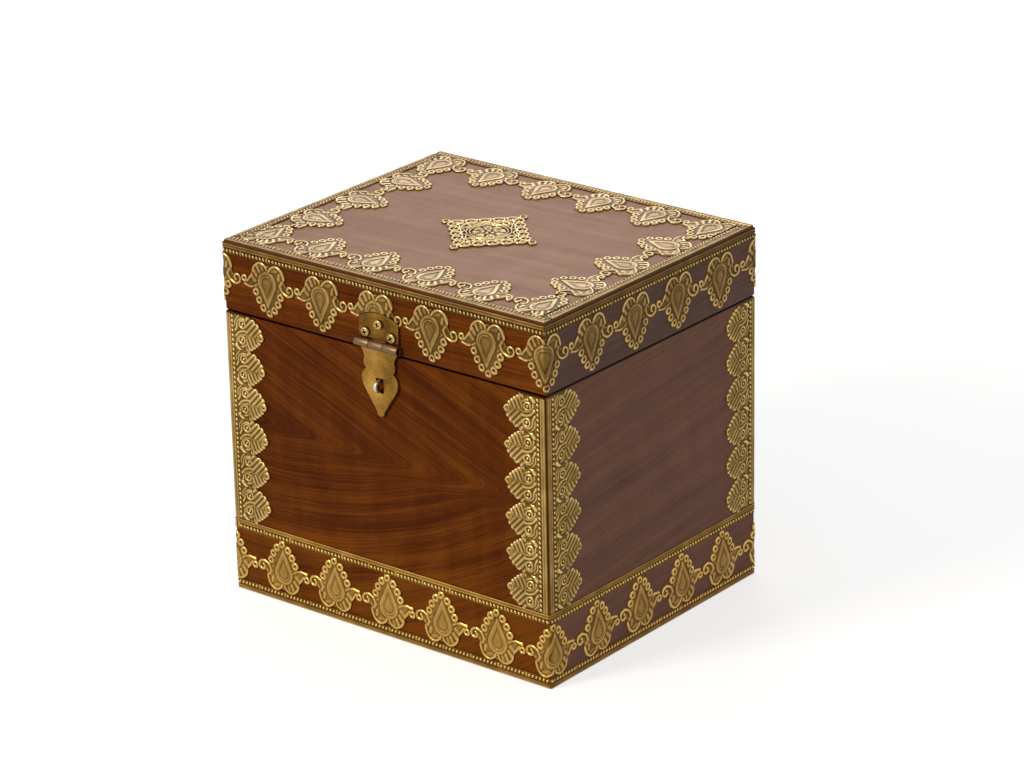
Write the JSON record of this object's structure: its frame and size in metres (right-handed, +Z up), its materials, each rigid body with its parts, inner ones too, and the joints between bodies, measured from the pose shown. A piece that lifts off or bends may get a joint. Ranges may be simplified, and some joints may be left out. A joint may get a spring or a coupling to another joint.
{
  "type": "trimmed wooden chest",
  "caption": "Small wooden chest with a hinged lid, stamped brass pendant and leaf trim, a pierced brass medallion and a swinging hasp over a steel staple.",
  "frame": {"origin": "middle of the foot, on the surface that the chest stands on", "axes": "+Z up; the front with the hasp faces -Y; +X runs along the front to the right, seen from the front"},
  "size_m": [0.2064, 0.1807, 0.1912],
  "materials": {
    "wall_wood": "waxed hardwood, reddish brown",
    "lid_wood": "waxed hardwood, pinkish brown",
    "bottom_wood": "bare sawn hardwood",
    "stamped_brass": "stamped sheet, aged with dark recesses",
    "pressed_brass": "pressed sheet, scratched and tarnished",
    "hinge_brass": "pressed sheet, dull",
    "bright_steel": "bright plated",
    "dull_steel": "dull"
  },
  "bodies": {
    "chest_body": {"front_panel": "wall_wood", "right_panel": "wall_wood", "back_panel": "wall_wood", "left_panel": "wall_wood", "bottom_board": "bottom_wood", "corner_trim_front_left": "stamped_brass", "corner_trim_front_right": "stamped_brass", "corner_trim_right_front": "stamped_brass", "corner_trim_right_back": "stamped_brass", "corner_trim_back_right": "stamped_brass", "corner_trim_back_left": "stamped_brass", "corner_trim_left_back": "stamped_brass", "corner_trim_left_front": "stamped_brass", "base_trim": "stamped_brass", "base_bead_strip": "stamped_brass", "hasp_staple": "bright_steel", "hinge_body_leaf_left": "hinge_brass", "hinge_body_leaf_right": "hinge_brass", "hinge_pin_left": "dull_steel", "hinge_pin_right": "dull_steel", "hinge_body_screws": "dull_steel"},
    "lid": {"lid_top_board": "lid_wood", "lid_front_rail": "lid_wood", "lid_right_rail": "lid_wood", "lid_back_rail": "lid_wood", "lid_left_rail": "lid_wood", "lid_side_trim": "stamped_brass", "lid_top_trim_front": "stamped_brass", "lid_top_trim_right": "stamped_brass", "lid_top_trim_back": "stamped_brass", "lid_top_trim_left": "stamped_brass", "medallion": "stamped_brass", "medallion_pins": "stamped_brass", "hasp_plate": "pressed_brass", "hasp_pin": "dull_steel", "hasp_screws": "bright_steel", "hinge_lid_leaf_left": "hinge_brass", "hinge_lid_leaf_right": "hinge_brass", "hinge_lid_screws": "dull_steel"},
    "hasp_flap": {"hasp_strap": "pressed_brass"}
  },
  "joints": [
    {"name": "lid_hinge", "type": "hinge", "parent": "chest_body", "child": "lid", "pos_m": [0, 0.0875, 0.15265], "axis": [-1, 0, 0], "range_deg": [0, 180]},
    {"name": "hasp_hinge", "type": "hinge", "parent": "lid", "child": "hasp_flap", "pos_m": [0, -0.0876, 0.1566], "axis": [-1, 0, 0], "range_deg": [0, 175]}
  ]
}
